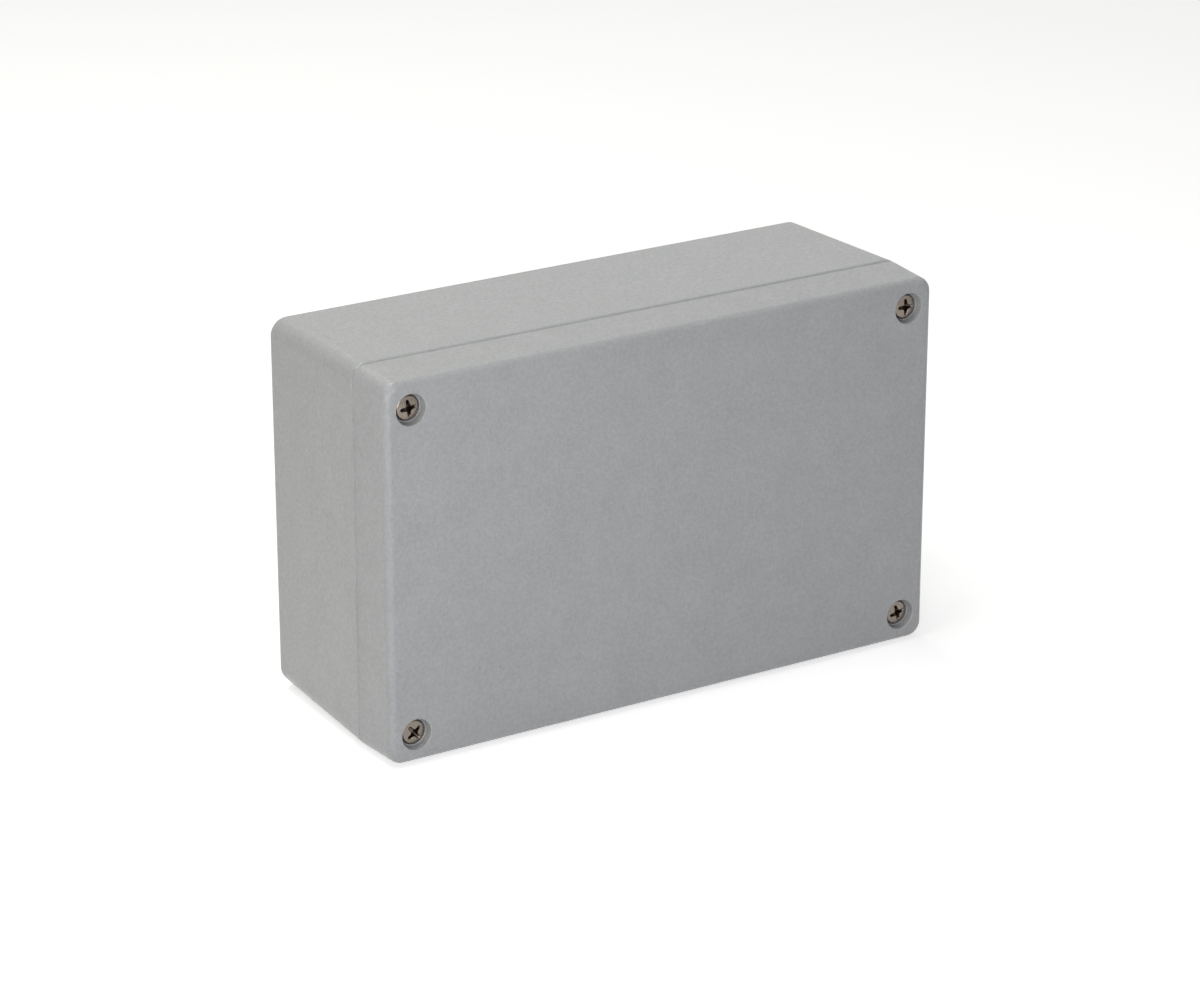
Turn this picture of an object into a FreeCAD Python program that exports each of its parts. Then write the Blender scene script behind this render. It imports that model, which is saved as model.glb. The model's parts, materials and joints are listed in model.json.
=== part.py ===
import FreeCAD, Part
import math
import os

# Die cast aluminium box with a sealed lid and four captive lid screws.
# Millimetres, +Z up. The box stands on one long side with its lid towards -Y.
# The origin is under the middle of the box, on the plane that it stands on.

# Overall sizes
BOX_LENGTH = 160.0
BOX_HEIGHT = 100.0
BOX_DEPTH = 60.0
LID_DEPTH = 15.0

# Castings
BASE_DRAFT = 1.35
LID_DRAFT = 2.2
CORE_DRAFT = 1.25
BASE_WALL = 3.8
BASE_FLOOR = 3.6
LID_PLATE = 3.6
BASE_CORNER_RADIUS = 4.5
LID_CORNER_RADIUS = 4.0
FRONT_EDGE_RADIUS = 2.0
BACK_EDGE_CHAMFER = 1.0
RIM_EDGE_CHAMFER = 0.7

# Seal between base and lid: the base's tongue stands in the lid's groove
GROOVE_WIDTH = 2.8
GROOVE_DEPTH = 4.0
GROOVE_LIP = 1.2
TONGUE_WIDTH = 1.2
TONGUE_HEIGHT = 1.5
GASKET_SIDE_GAP = 0.1

# Corner pads, each with a lid screw and a wall-mounting hole
PAD_LENGTH = 27.0
PAD_HEIGHT = 15.2
PAD_INNER_RADIUS = 5.0
PAD_OUTER_RADIUS = 4.0
SCREW_EDGE_DISTANCE = 8.0
MOUNT_EDGE_DISTANCE = 19.0
MOUNT_HOLE_DIAMETER = 4.5
MOUNT_WELL_DIAMETER = 8.6
MOUNT_SEAT_THICKNESS = 6.0

# Lid screws, M4 with a cross-recessed cheese head
SCREW_DIAMETER = 4.0
SCREW_LENGTH = 18.0
SCREW_HEAD_DIAMETER = 7.0
SCREW_HEAD_HEIGHT = 2.6
SCREW_HEAD_SUNK = 1.2
SCREW_NECK_DIAMETER = 3.1
SCREW_HOLE_DIAMETER = 4.5
COUNTERBORE_DIAMETER = 8.1
RECESS_SPAN = 4.3
RECESS_WIDTH = 1.0
RECESS_DEPTH = 1.9
LID_SCREW_TURNS = (8.0, 1.0, 15.0, 40.0)

# Clips that keep the lid screws in the lid
CLIP_DIAMETER = 6.8
CLIP_THICKNESS = 0.8
CLIP_TRAVEL = 7.2
POCKET_DIAMETER = 7.6

# Inside of the base
THREADED_HOLE_CLEARANCE = 0.1
BOARD_BOSS_SPACING_X = 110.0
BOARD_BOSS_SPACING_Z = 50.0
BOARD_BOSS_HEIGHT = 8.0
BOARD_BOSS_DIAMETER = 8.0
BOARD_HOLE_DIAMETER = 3.3
BOARD_HOLE_DEPTH = 7.0

# Running and seating clearances
SHAFT_CLEARANCE = 0.05
CLIP_SIDE_CLEARANCE = 0.1
HOLE_END_CLEARANCE = 1.0
CUT_OVERLAP = 1.0

# Planes along the depth, and the reach of the seal from the middle
FRONT_Y = -BOX_DEPTH / 2
BACK_Y = BOX_DEPTH / 2
JOINT_Y = FRONT_Y + LID_DEPTH
FLOOR_Y = BACK_Y - BASE_FLOOR
CEILING_Y = FRONT_Y + LID_PLATE
HEAD_SEAT_Y = FRONT_Y + SCREW_HEAD_SUNK + SCREW_HEAD_HEIGHT
SCREW_TIP_Y = HEAD_SEAT_Y + SCREW_LENGTH
CLIP_BACK_Y = JOINT_Y - 4 * CLIP_SIDE_CLEARANCE
CLIP_FRONT_Y = CLIP_BACK_Y - CLIP_THICKNESS
POCKET_END_Y = CLIP_FRONT_Y - CLIP_TRAVEL - 3 * CLIP_SIDE_CLEARANCE
CAVITY_HALF_X = BOX_LENGTH / 2 - BASE_WALL
CAVITY_HALF_Z = BOX_HEIGHT / 2 - BASE_WALL
PAD_EDGE_X = BOX_LENGTH / 2 - PAD_LENGTH
PAD_EDGE_Z = BOX_HEIGHT / 2 - PAD_HEIGHT
SCREW_X = BOX_LENGTH / 2 - SCREW_EDGE_DISTANCE
SCREW_Z = BOX_HEIGHT / 2 - SCREW_EDGE_DISTANCE
MOUNT_X = BOX_LENGTH / 2 - MOUNT_EDGE_DISTANCE

# Offsets of the seal's walls from the cavity's outline at the joint, outwards
GROOVE_OUTER = (TONGUE_WIDTH + GROOVE_WIDTH) / 2
GROOVE_INNER = (TONGUE_WIDTH - GROOVE_WIDTH) / 2
LIP_INNER = GROOVE_INNER - GROOVE_LIP

CORNERS = ((-1, 1), (1, 1), (1, -1), (-1, -1))


def point(x, y, z):
    return FreeCAD.Vector(x, y, z)


def drafted(depth, angle):
    """How far a drafted wall moves sideways over a depth."""
    return depth * math.tan(math.radians(angle))


# Outlines

def rounded_wire(corners, radii, y):
    """A closed outline with square corners, each rounded by its own radius, at depth y."""
    edges = []
    count = len(corners)
    ends = []
    for i in range(count):
        corner = point(corners[i][0], y, corners[i][1])
        before = point(corners[i - 1][0], y, corners[i - 1][1]).sub(corner).normalize()
        after = corners[(i + 1) % count]
        after = point(after[0], y, after[1]).sub(corner).normalize()
        start = corner + before * radii[i]
        end = corner + after * radii[i]
        middle = corner + (before + after) * (radii[i] * (1 - math.sqrt(0.5)))
        ends.append((start, middle, end))
    for i in range(count):
        start, middle, end = ends[i]
        following = ends[(i + 1) % count][0]
        edges.append(Part.Arc(start, middle, end).toShape())
        edges.append(Part.LineSegment(end, following).toShape())
    return Part.Wire(edges)


def seal_outline(offset, y):
    """The cavity's outline with a step round each corner pad, moved outwards by offset."""
    half_x = CAVITY_HALF_X + offset
    half_z = CAVITY_HALF_Z + offset
    pad_x = PAD_EDGE_X + offset
    pad_z = PAD_EDGE_Z + offset
    corners = []
    for side_x, side_z in ((1, 1), (-1, 1), (-1, -1), (1, -1)):
        step = [(half_x, pad_z), (pad_x, pad_z), (pad_x, half_z)]
        if side_x != side_z:
            step.reverse()
        for x, z in step:
            corners.append((side_x * x, side_z * z))
    outer_radius = PAD_OUTER_RADIUS + offset
    inner_radius = PAD_INNER_RADIUS - offset
    return rounded_wire(corners, [outer_radius, inner_radius, outer_radius] * 4, y)


# Solids

def leaning_block(half_x, half_z, start_y, end_y):
    """A block whose half sizes at each depth are (start, end) pairs, so that its four sides lean."""
    return Part.makeWedge(
        -half_x[0], start_y, -half_z[0], -half_z[1], -half_x[1],
        half_x[0], end_y, half_z[0], half_z[1], half_x[1])


def edges_at(shape, y):
    """The edges of a solid that lie in the plane at depth y."""
    found = []
    for edge in shape.Edges:
        box = edge.BoundBox
        if abs(box.YMin - y) < 0.001 and abs(box.YMax - y) < 0.001:
            found.append(edge)
    return found


def edges_along(shape, start_y, end_y):
    """The edges of a solid that run from one depth to another."""
    return [edge for edge in shape.Edges if edge.BoundBox.YLength > end_y - start_y - 0.001]


def outer_block(start_inset, end_inset, corner_radius, start_y, end_y):
    """The outside of a casting: leaning sides with rounded corners."""
    half_x = (BOX_LENGTH / 2 - start_inset, BOX_LENGTH / 2 - end_inset)
    half_z = (BOX_HEIGHT / 2 - start_inset, BOX_HEIGHT / 2 - end_inset)
    block = leaning_block(half_x, half_z, start_y, end_y)
    return block.makeFillet(corner_radius, edges_along(block, start_y, end_y))


def seal_core(start_offset, end_offset, start_y, end_y):
    """A core with a step round each corner pad, moved outwards by an offset at each end."""
    offsets = (start_offset, end_offset)
    half_x = [CAVITY_HALF_X + offset for offset in offsets]
    half_z = [CAVITY_HALF_Z + offset for offset in offsets]
    pad_x = [PAD_EDGE_X + offset for offset in offsets]
    pad_z = [PAD_EDGE_Z + offset for offset in offsets]
    across = leaning_block(half_x, pad_z, start_y, end_y)
    core = across.fuse(leaning_block(pad_x, half_z, start_y, end_y)).removeSplitter()

    def at_pad_corner(edge):
        box = edge.BoundBox
        near_x = min(abs(box.XMin), abs(box.XMax)) < max(pad_x) + 0.001
        near_z = min(abs(box.ZMin), abs(box.ZMax)) < max(pad_z) + 0.001
        return near_x and near_z

    widest = max(offsets)
    outer = [edge for edge in edges_along(core, start_y, end_y) if not at_pad_corner(edge)]
    core = core.makeFillet(PAD_OUTER_RADIUS + widest, outer)
    inner = [edge for edge in edges_along(core, start_y, end_y) if at_pad_corner(edge)]
    return core.makeFillet(PAD_INNER_RADIUS - widest, inner)


def seal_plug(offset, start_y, end_y):
    """A straight plug with the seal's outline, moved outwards by an offset."""
    return Part.Face(seal_outline(offset, start_y)).extrude(point(0, end_y - start_y, 0))


def seal_ring(outer, inner, start_y, end_y):
    """A band that follows the seal between two offsets."""
    return seal_plug(outer, start_y, end_y).cut(seal_plug(inner, start_y, end_y))


def rod(radius, x, z, start_y, end_y):
    """A cylinder along the depth."""
    return Part.makeCylinder(radius, end_y - start_y, point(x, start_y, z), point(0, 1, 0))


# Base

def base_outside():
    draft = drafted(BACK_Y - JOINT_Y, BASE_DRAFT)
    block = outer_block(0, draft, BASE_CORNER_RADIUS, JOINT_Y, BACK_Y)
    block = block.makeChamfer(BACK_EDGE_CHAMFER, edges_at(block, BACK_Y))
    return block.makeChamfer(RIM_EDGE_CHAMFER, edges_at(block, JOINT_Y))


def base_cavity():
    """The core that leaves the walls, the corner pads and the inside of the tongue."""
    start_y = JOINT_Y - TONGUE_HEIGHT
    return seal_core(0, -drafted(FLOOR_Y - start_y, CORE_DRAFT), start_y, FLOOR_Y)


def mounting_well(x, z):
    """A well beside a lid screw, outside the seal, with its hole through the back."""
    well = rod(MOUNT_WELL_DIAMETER / 2, x, z, JOINT_Y, BACK_Y - MOUNT_SEAT_THICKNESS)
    hole = rod(MOUNT_HOLE_DIAMETER / 2, x, z, JOINT_Y, BACK_Y + CUT_OVERLAP)
    return well.fuse(hole)


def base():
    tongue = seal_plug(TONGUE_WIDTH, JOINT_Y - TONGUE_HEIGHT, JOINT_Y + CUT_OVERLAP)
    body = base_outside().fuse(tongue).cut(base_cavity())
    bosses = []
    holes = []
    board_y = FLOOR_Y - BOARD_BOSS_HEIGHT
    thread_radius = (SCREW_DIAMETER + THREADED_HOLE_CLEARANCE) / 2
    for side_x, side_z in CORNERS:
        boss_x = side_x * BOARD_BOSS_SPACING_X / 2
        boss_z = side_z * BOARD_BOSS_SPACING_Z / 2
        bosses.append(rod(BOARD_BOSS_DIAMETER / 2, boss_x, boss_z, board_y, FLOOR_Y + BASE_FLOOR / 2))
        holes.append(rod(BOARD_HOLE_DIAMETER / 2, boss_x, boss_z, board_y, board_y + BOARD_HOLE_DEPTH))
        screw_end = SCREW_TIP_Y + HOLE_END_CLEARANCE
        holes.append(rod(thread_radius, side_x * SCREW_X, side_z * SCREW_Z, JOINT_Y, screw_end))
        holes.append(mounting_well(side_x * MOUNT_X, side_z * SCREW_Z))
    return body.fuse(bosses).cut(holes)


# Lid

def lid_outside():
    draft = drafted(LID_DEPTH, LID_DRAFT)
    block = outer_block(draft, 0, LID_CORNER_RADIUS, FRONT_Y, JOINT_Y)
    return block.makeFillet(FRONT_EDGE_RADIUS, edges_at(block, FRONT_Y))


def lid_hollow():
    draft = drafted(JOINT_Y - CEILING_Y, CORE_DRAFT)
    return seal_core(LIP_INNER - draft, LIP_INNER, CEILING_Y, JOINT_Y)


def counterbored_hole(x, z):
    """The lid screw's counterbore, its hole and the pocket in which the clip travels."""
    counterbore = rod(COUNTERBORE_DIAMETER / 2, x, z, FRONT_Y - CUT_OVERLAP, HEAD_SEAT_Y)
    hole = rod(SCREW_HOLE_DIAMETER / 2, x, z, FRONT_Y, JOINT_Y + CUT_OVERLAP)
    pocket = rod(POCKET_DIAMETER / 2, x, z, POCKET_END_Y, JOINT_Y + CUT_OVERLAP)
    return counterbore.fuse([hole, pocket])


def lid():
    body = lid_outside().cut(lid_hollow())
    cuts = [seal_ring(GROOVE_OUTER, GROOVE_INNER, JOINT_Y - GROOVE_DEPTH, JOINT_Y + CUT_OVERLAP)]
    for side_x, side_z in CORNERS:
        cuts.append(counterbored_hole(side_x * SCREW_X, side_z * SCREW_Z))
    return body.cut(cuts)


def gasket():
    """The soft ring at the bottom of the lid's groove, against which the tongue presses."""
    outer = GROOVE_OUTER - GASKET_SIDE_GAP
    inner = GROOVE_INNER + GASKET_SIDE_GAP
    return seal_ring(outer, inner, JOINT_Y - GROOVE_DEPTH, JOINT_Y - TONGUE_HEIGHT)


# Screws and clips, each made on the axis at the origin and then put in place

def cross_recess(top_y, turn):
    """The tapered recess for a cross-point driver, turned left as seen from the front."""
    long_half = (RECESS_SPAN / 2, RECESS_SPAN / 4)
    short_half = (RECESS_WIDTH / 2, RECESS_WIDTH * 0.35)
    across = leaning_block(long_half, short_half, top_y, top_y + RECESS_DEPTH)
    recess = across.fuse(leaning_block(short_half, long_half, top_y, top_y + RECESS_DEPTH))
    recess.rotate(point(0, 0, 0), point(0, -1, 0), turn)
    return recess


def lid_screw(turn):
    """A screw with its shank waisted between the head and the thread, where the clip sits."""
    head_y = HEAD_SEAT_Y - SCREW_HEAD_HEIGHT
    thread_y = CLIP_BACK_Y + CLIP_SIDE_CLEARANCE
    head = rod(SCREW_HEAD_DIAMETER / 2, 0, 0, head_y, HEAD_SEAT_Y)
    neck = rod(SCREW_NECK_DIAMETER / 2, 0, 0, HEAD_SEAT_Y, thread_y)
    thread = rod(SCREW_DIAMETER / 2, 0, 0, thread_y, SCREW_TIP_Y)
    return head.fuse([neck, thread]).cut(cross_recess(head_y, turn))


def screw_clip():
    """A flat round clip with a slot, pushed onto the lid screw's neck from above."""
    inner = SCREW_NECK_DIAMETER / 2 + SHAFT_CLEARANCE
    outer = CLIP_DIAMETER / 2
    disc = rod(outer, 0, 0, CLIP_FRONT_Y, CLIP_BACK_Y)
    slot = Part.makeBox(2 * inner, CLIP_THICKNESS, outer, point(-inner, CLIP_FRONT_Y, -outer))
    return disc.cut(slot.fuse(rod(inner, 0, 0, CLIP_FRONT_Y, CLIP_BACK_Y)))


# Export

def single_solid(shape):
    """The one solid of a finished piece, with leftover seam lines taken out."""
    shape = shape.removeSplitter()
    if len(shape.Solids) != 1:
        raise ValueError("a piece must be one solid")
    return shape.Solids[0]


def write(shape, name):
    piece = single_solid(shape)
    piece.translate(point(0, 0, BOX_HEIGHT / 2))
    piece.exportStep("parts/" + name + ".step")


def moved(shape, x, z):
    copy = shape.copy()
    copy.translate(point(x, 0, z))
    return copy


def main():
    os.makedirs("parts", exist_ok=True)
    write(base(), "base")
    write(lid(), "lid")
    write(gasket(), "gasket")
    for i, (side_x, side_z) in enumerate(CORNERS):
        number = str(i + 1)
        x = side_x * SCREW_X
        z = side_z * SCREW_Z
        write(moved(lid_screw(LID_SCREW_TURNS[i]), x, z), "lid_screw_" + number)
        write(moved(screw_clip(), x, z), "screw_clip_" + number)


main()
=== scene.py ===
import json
import math

import bmesh
import bpy
from bpy.props import FloatProperty, FloatVectorProperty, PointerProperty
from bpy.types import Operator, Panel, PropertyGroup
from mathutils import Matrix, Vector


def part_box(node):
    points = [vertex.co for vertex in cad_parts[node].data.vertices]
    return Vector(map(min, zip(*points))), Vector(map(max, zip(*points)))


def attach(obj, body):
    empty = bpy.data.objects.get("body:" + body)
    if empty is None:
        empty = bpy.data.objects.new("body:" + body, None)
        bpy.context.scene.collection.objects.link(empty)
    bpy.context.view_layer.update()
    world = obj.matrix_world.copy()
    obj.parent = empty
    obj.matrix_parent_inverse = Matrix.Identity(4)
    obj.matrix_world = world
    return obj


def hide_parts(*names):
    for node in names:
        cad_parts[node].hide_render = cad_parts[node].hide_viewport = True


bl_info = {
    "name": "Die cast box",
    "version": (1, 0, 0),
    "blender": (4, 5, 0),
    "location": "3D View > Sidebar > Die cast box",
    "description": "A powder coated die cast aluminium box with a sealed lid and captive screws",
    "category": "Add Mesh",
}

MM = 0.001

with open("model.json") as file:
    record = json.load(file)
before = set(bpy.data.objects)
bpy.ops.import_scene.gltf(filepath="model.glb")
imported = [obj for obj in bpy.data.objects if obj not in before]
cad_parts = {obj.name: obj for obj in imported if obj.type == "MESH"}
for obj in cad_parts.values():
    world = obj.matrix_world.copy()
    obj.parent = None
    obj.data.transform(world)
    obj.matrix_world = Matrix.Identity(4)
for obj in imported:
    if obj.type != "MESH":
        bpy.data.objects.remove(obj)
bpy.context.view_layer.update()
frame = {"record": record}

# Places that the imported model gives, in metres
LID_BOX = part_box("lid")
BASE_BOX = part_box("base")
SCREW_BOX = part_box("lid_screw_1")
CLIP_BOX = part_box("screw_clip_1")
HALF_LENGTH = (LID_BOX[1].x - LID_BOX[0].x) / 2
HALF_HEIGHT = (LID_BOX[1].z - LID_BOX[0].z) / 2
MIDDLE_Z = (LID_BOX[1].z + LID_BOX[0].z) / 2
FRONT_Y = LID_BOX[0].y
JOINT_Y = LID_BOX[1].y
BACK_Y = BASE_BOX[1].y
TONGUE_Y = BASE_BOX[0].y
HEAD_TOP_Y = SCREW_BOX[0].y
SCREW_TIP_Y = SCREW_BOX[1].y
CLIP_FRONT_Y = CLIP_BOX[0].y
CLIP_BACK_Y = CLIP_BOX[1].y
THREAD_START_Y = CLIP_BACK_Y + 0.1 * MM
CORNERS = ((-1, 1), (1, 1), (1, -1), (-1, -1))

# Sizes too small to be settings, in metres
OVER = 1.0 * MM  # How far a cutter or a boss reaches past the face that it meets
SHORT_OVER = 0.5 * MM  # The same for the cutters that follow the seal
SMALL_EDGE = 0.3 * MM  # Radius of the castings' small edges
TOOL_EDGE = 0.15 * MM  # Edge that a cutting tool leaves
PRINT_RADIUS = 3.0 * MM  # Round print of an ejector pin
PRINT_DEPTH = 0.15 * MM
PRINT_SPACING = 30.0 * MM
BOARD_THREAD = 0.32 * MM  # Depth of the thread in a board boss
LID_THREAD = 0.25 * MM  # Depth of the thread that takes a lid screw
LONGEST_THREAD = 6.0 * MM
DRILL_POINT = math.radians(59)  # Half the angle of a drill's point
BOSS_DRAFT = math.radians(1.5)

# The lamps' names, turns to the left and heights in degrees, distances and sizes in metres, watts and tints
LAMPS = (
    ("lamp_beside_camera", 31.5, 12, 0.6, 0.25, 1.64, "#f6f5ff"),
    ("lamp_left", 60, 30, 0.8, 0.3, 0.32, "#fff48c"),
    ("lamp_above_left", 90, 70, 0.8, 0.4, 1.98, "#fbf6fb"),
    ("lamp_above_behind", 180, 60, 0.9, 0.4, 2.24, "#fefff3"),
    ("lamp_above_right", -70, 60, 1.0, 0.2, 0.3, "#e4e0ff"),
)
ROOM_LIGHT = 0.15  # Strength of the white room for diffuse light
FLOOR_GLOW = 0.6  # Strength at which the floor shows to the camera and in gloss
FLOOR_REACH = 6.0


def linear(text):
    """An sRGB hex colour as linear red, green and blue."""
    values = [int(text[i:i + 2], 16) / 255 for i in (1, 3, 5)]
    return tuple(v / 12.92 if v <= 0.04045 else ((v + 0.055) / 1.055) ** 2.4 for v in values)


def length(name, millimetres, description):
    return FloatProperty(name=name, default=millimetres * MM, min=0.0, unit="LENGTH", precision=5,
                         description=description)


def angle(name, degrees, description):
    return FloatProperty(name=name, default=math.radians(degrees), subtype="ANGLE", description=description)


def colour(name, text, description):
    return FloatVectorProperty(name=name, default=linear(text), size=3, min=0.0, max=1.0, subtype="COLOR",
                               description=description)


# Settings

class BoxCastingSettings(PropertyGroup):
    base_draft: angle("Base draft", 1.35, "Lean of the base's outer walls")
    lid_draft: angle("Lid draft", 2.0, "Lean of the lid's outer walls")
    core_draft: angle("Core draft", 1.25, "Lean of the inner walls")
    base_corner: length("Base corner", 4.6, "Radius of the base's upright corners")
    lid_corner: length("Lid corner", 4.0, "Radius of the lid's upright corners")
    front_edge: length("Front edge", 2.0, "Radius round the lid's face")
    back_edge: length("Back edge", 1.8, "Radius round the base's back")
    base_rim: length("Base rim", 1.4, "Radius of the base's edge at the joint along its long sides")
    end_rim: length("End rim", 0.5, "Radius of the base's edge at the joint at its two ends")
    lid_rim: length("Lid rim", 0.25, "Radius of the lid's edge at the joint")
    wall: length("Wall", 3.8, "Wall of the base at the joint")
    floor: length("Floor", 3.6, "Thickness of the base's back")
    plate: length("Plate", 3.6, "Thickness of the lid's face")
    inner_edge: length("Inner edge", 2.0, "Radius where inner walls meet the floor")
    lid_step: length("Lid step", 0.22, "How far the lid's walls stand back from the base's at the joint")
    pad_length: length("Pad length", 27.0, "Length of a corner pad from the outside")
    pad_height: length("Pad height", 15.2, "Height of a corner pad from the outside")
    pad_inner: length("Pad inner radius", 5.0, "Radius of a corner pad's own corner")
    pad_outer: length("Pad outer radius", 4.0, "Radius where a pad meets a wall")
    tongue_width: length("Tongue width", 1.2, "Width of the tongue that presses on the gasket")
    groove_width: length("Groove width", 2.8, "Width of the gasket's groove")
    groove_depth: length("Groove depth", 4.0, "Depth of the gasket's groove from the joint")
    groove_lip: length("Groove lip", 1.2, "Wall between the groove and the lid's hollow")


class BoxHoleSettings(PropertyGroup):
    counterbore: length("Counterbore", 7.9, "Diameter of a lid screw's counterbore")
    counterbore_edge: length("Counterbore edge", 0.3, "Radius of the coated edge at the counterbore's mouth")
    foot_depth: length("Foot depth", 1.8, "Depth at which a counterbore rounds off to its seat")
    head_gap: length("Head gap", 0.15, "Gap round a lid screw's head at its seat")
    screw_hole: length("Screw hole", 4.5, "Diameter of a lid screw's hole through the lid")
    pocket: length("Clip pocket", 7.6, "Diameter of the pocket in which a clip travels")
    pocket_depth: length("Pocket depth", 8.7, "Depth of a clip's pocket from the joint")
    tapped: length("Tapped hole", 4.1, "Diameter of a lid screw's hole in the base")
    tapped_depth: length("Tapped depth", 7.8, "Depth of a lid screw's hole in the base")
    mount_distance: length("Mount distance", 19.0, "Distance of a wall-mounting hole from the box's end")
    mount_hole: length("Mounting hole", 4.5, "Diameter of a wall-mounting hole")
    mount_well: length("Mounting well", 8.6, "Diameter of a wall-mounting hole's well")
    mount_seat: length("Mounting seat", 6.0, "Metal left behind a wall-mounting well")
    board_spacing_x: length("Board spacing X", 110.0, "Spacing of the board bosses along the box")
    board_spacing_z: length("Board spacing Z", 50.0, "Spacing of the board bosses across the box")
    boss: length("Boss", 8.0, "Diameter of a board boss")
    boss_height: length("Boss height", 8.0, "Height of a board boss")
    boss_hole: length("Boss hole", 3.3, "Diameter of a board boss's hole")
    boss_hole_depth: length("Boss hole depth", 7.0, "Depth of a board boss's hole")


class BoxScrewSettings(PropertyGroup):
    head: length("Head", 6.45, "Diameter of a lid screw's head")
    head_height: length("Head height", 2.6, "Height of a lid screw's head")
    crown: length("Crown", 0.35, "Rise of the head's crown")
    head_edge: length("Head edge", 0.5, "Radius of the head's edge")
    neck: length("Neck", 3.1, "Diameter of the waisted neck")
    thread: length("Thread", 4.0, "Outer diameter of the thread")
    pitch: length("Pitch", 0.7, "Pitch of the thread")
    thread_depth: length("Thread depth", 0.42, "Depth of the thread")
    recess_span: length("Recess span", 4.3, "Span of the cross recess at its mouth")
    recess_width: length("Recess width", 0.85, "Width of the cross recess's arms")
    recess_depth: length("Recess depth", 1.8, "Depth of the cross recess")
    clip: length("Clip", 6.8, "Diameter of a screw's clip")
    clip_opening: angle("Clip opening", 60, "Opening of a screw's clip")


class BoxFinishSettings(PropertyGroup):
    coat: colour("Coat", "#acafaf", "Light grey powder coat")
    coat_dark: colour("Coat shade", "#9da0a0", "Powder coat where it lies thinner")
    alloy: colour("Bare alloy", "#b9bab8", "Machined die casting alloy")
    steel: colour("Stainless steel", "#8d847a", "Stainless steel of the lid screws")
    # The recess colour is darker steel: painted shade for the depth of a cross recess
    recess: colour("Recess", "#6e645d", "Steel in the depth of a recess, dark with grease")
    spring_steel: colour("Spring steel", "#8d8b88", "Stainless spring steel of the clips")
    rubber: colour("Rubber", "#1b1b1c", "Black neoprene")


class BoxStageSettings(PropertyGroup):
    yaw: angle("Yaw", 31.553, "Camera's turn to the left of the lid's face")
    pitch: angle("Pitch", 21.119, "Camera's height above the level")
    distance: length("Distance", 1022.48, "Camera's distance from the middle of the joint")
    shift_right: length("Right", 8.966, "How far the box stands to the right of the view's centre")
    shift_up: FloatProperty(name="Up", default=-1.446 * MM, unit="LENGTH", precision=5,
                            description="How far the box stands above the view's centre")
    focal_length: FloatProperty(name="Focal length", default=122.11,
                                description="Millimetres on a 36 mm sensor")
    floor: colour("Floor", "#e4e4e3", "Pale floor")


# Outlines, as (x, z) points about the middle of the box

def bend(centre, radius, start, steps):
    """A quarter circle from the start angle in degrees, counterclockwise for a positive radius."""
    turn = 90 if radius > 0 else -90
    angles = [math.radians(start + turn * i / steps) for i in range(steps + 1)]
    return [(centre[0] + abs(radius) * math.cos(a), centre[1] + abs(radius) * math.sin(a)) for a in angles]


def plain_outline(inset, radius, end_inset=None, steps=14):
    """A rounded rectangle, counterclockwise from the right side, with an inset of its own at the two ends."""
    x = HALF_LENGTH - (inset if end_inset is None else end_inset) - radius
    z = HALF_HEIGHT - inset - radius
    points = []
    for side_x, side_z, start in ((1, 1, 0), (-1, 1, 90), (-1, -1, 180), (1, -1, 270)):
        points += bend((side_x * x, side_z * z), radius, start, steps)
    return points


def stepped_corners(casting, offset):
    """The twelve corners of the seal's path, with each one's kind, 1 outer or -1 at a pad."""
    x = HALF_LENGTH - casting.wall + offset
    z = HALF_HEIGHT - casting.wall + offset
    pad_x = HALF_LENGTH - casting.pad_length + offset
    pad_z = HALF_HEIGHT - casting.pad_height + offset
    corners = []
    for side_x, side_z in ((1, 1), (-1, 1), (-1, -1), (1, -1)):
        step = [(x, pad_z, 1), (pad_x, pad_z, -1), (pad_x, z, 1)]
        if side_x != side_z:
            step.reverse()
        corners += [(side_x * cx, side_z * cz, kind) for cx, cz, kind in step]
    return corners


def stepped_outline(casting, offset, rounding, steps=10):
    """The seal's path, moved outwards by offset, with its bends changed by rounding."""
    corners = stepped_corners(casting, offset)
    points = []
    for i, (x, z, kind) in enumerate(corners):
        before = Vector(corners[i - 1][:2]) - Vector((x, z))
        after = Vector(corners[(i + 1) % len(corners)][:2]) - Vector((x, z))
        radius = casting.pad_outer + rounding if kind > 0 else casting.pad_inner - rounding
        radius = max(radius, 0.2 * MM)
        centre = Vector((x, z)) + (before.normalized() + after.normalized()) * radius
        first = Vector((x, z)) + before.normalized() * radius - centre
        start = math.degrees(math.atan2(first.y, first.x))
        points += bend(centre, radius * kind, start, steps)
    return points


def quarter(steps):
    """The angles that divide a quarter turn, with both its ends."""
    return [math.pi / 2 * i / steps for i in range(steps + 1)]


def fillet(radius, steps, leaving):
    """(inset, depth) steps round an edge, from the face to the wall, or the other way when leaving."""
    points = [(radius * (1 - math.sin(a)), radius * (1 - math.cos(a))) for a in quarter(steps)]
    if leaving:
        points = [(inset, -depth) for inset, depth in reversed(points)]
    return points


# Meshes

def new_object(name, mesh):
    piece = bpy.data.objects.new(name, mesh)
    bpy.context.scene.collection.objects.link(piece)
    return piece


def face_out(work):
    """Turns the faces of a closed form outwards, also where a hollow shape misleads Blender."""
    bmesh.ops.recalc_face_normals(work, faces=work.faces)
    if work.calc_volume(signed=True) < 0:
        bmesh.ops.reverse_faces(work, faces=work.faces)


def closed_mesh(name, work):
    """The finished work as a mesh with its faces outwards."""
    face_out(work)
    mesh = bpy.data.meshes.new(name)
    work.to_mesh(mesh)
    work.free()
    return mesh


def volume(piece):
    """The volume inside a closed piece, below zero if its faces point inwards."""
    work = bmesh.new()
    work.from_mesh(piece.data)
    inside = work.calc_volume(signed=True)
    work.free()
    return inside


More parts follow.
